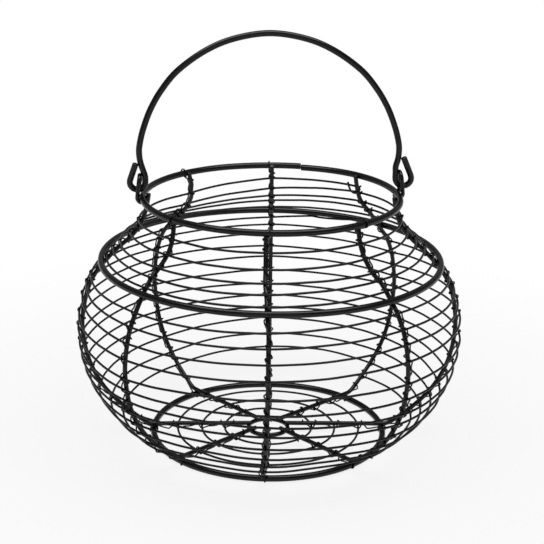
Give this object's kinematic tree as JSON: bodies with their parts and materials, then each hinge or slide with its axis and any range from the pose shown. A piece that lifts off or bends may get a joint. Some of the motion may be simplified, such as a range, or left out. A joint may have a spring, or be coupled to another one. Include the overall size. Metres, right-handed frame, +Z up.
{
  "type": "wire egg basket",
  "caption": "Round-bellied basket of near-black bound wire, with a flared neck, a heavy shoulder ring, a flat floor in a base ring and an arched handle that swings on two ears at the rim.",
  "frame": {"origin": "on the floor plane under the middle of the base ring", "axes": "+Z up, the front at -Y, the ears to the left (-X) and right (+X)"},
  "size_m": [0.2316, 0.2318, 0.2454],
  "materials": {
    "heavy_wire": "satin near-black lacquer on drawn steel wire",
    "handle_wire": "satin near-black lacquer, rubbed a little at the top of the arch",
    "rib_wire": "satin near-black lacquer on drawn steel wire",
    "hoop_wire": "thin near-black lacquer on fine steel wire",
    "binding_wire": "thin near-black lacquer on fine soft steel wire"
  },
  "bodies": {
    "basket": {"rim_ring": "heavy_wire", "shoulder_ring": "heavy_wire", "base_ring": "heavy_wire", "centre_ring": "rib_wire", "neck_hoop_1": "hoop_wire", "neck_hoop_2": "hoop_wire", "neck_hoop_3": "hoop_wire", "neck_hoop_4": "hoop_wire", "neck_hoop_5": "hoop_wire", "belly_hoop_1": "hoop_wire", "belly_hoop_2": "hoop_wire", "belly_hoop_3": "hoop_wire", "belly_hoop_4": "hoop_wire", "belly_hoop_5": "hoop_wire", "belly_hoop_6": "hoop_wire", "belly_hoop_7": "hoop_wire", "belly_hoop_8": "hoop_wire", "belly_hoop_9": "hoop_wire", "belly_hoop_10": "hoop_wire", "belly_hoop_11": "hoop_wire", "belly_hoop_12": "hoop_wire", "floor_hoop_1": "hoop_wire", "floor_hoop_2": "hoop_wire", "floor_hoop_3": "hoop_wire", "rib_front": "rib_wire", "rib_front_right": "rib_wire", "rib_right": "rib_wire", "rib_back_right": "rib_wire", "rib_back": "rib_wire", "rib_back_left": "rib_wire", "rib_left": "rib_wire", "rib_front_left": "rib_wire", "binding_front": "binding_wire", "binding_front_right": "binding_wire", "binding_right": "binding_wire", "binding_back_right": "binding_wire", "binding_back": "binding_wire", "binding_back_left": "binding_wire", "binding_left": "binding_wire", "binding_front_left": "binding_wire", "ear_left": "heavy_wire", "ear_right": "heavy_wire"},
    "handle": {"bail": "handle_wire"}
  },
  "joints": [
    {"name": "bail_swing", "type": "hinge", "parent": "basket", "child": "handle", "pos_m": [-0.00067, 0.00567, 0.1531], "axis": [0.993, 0.1177, 0], "range_deg": [-90, 90]}
  ]
}
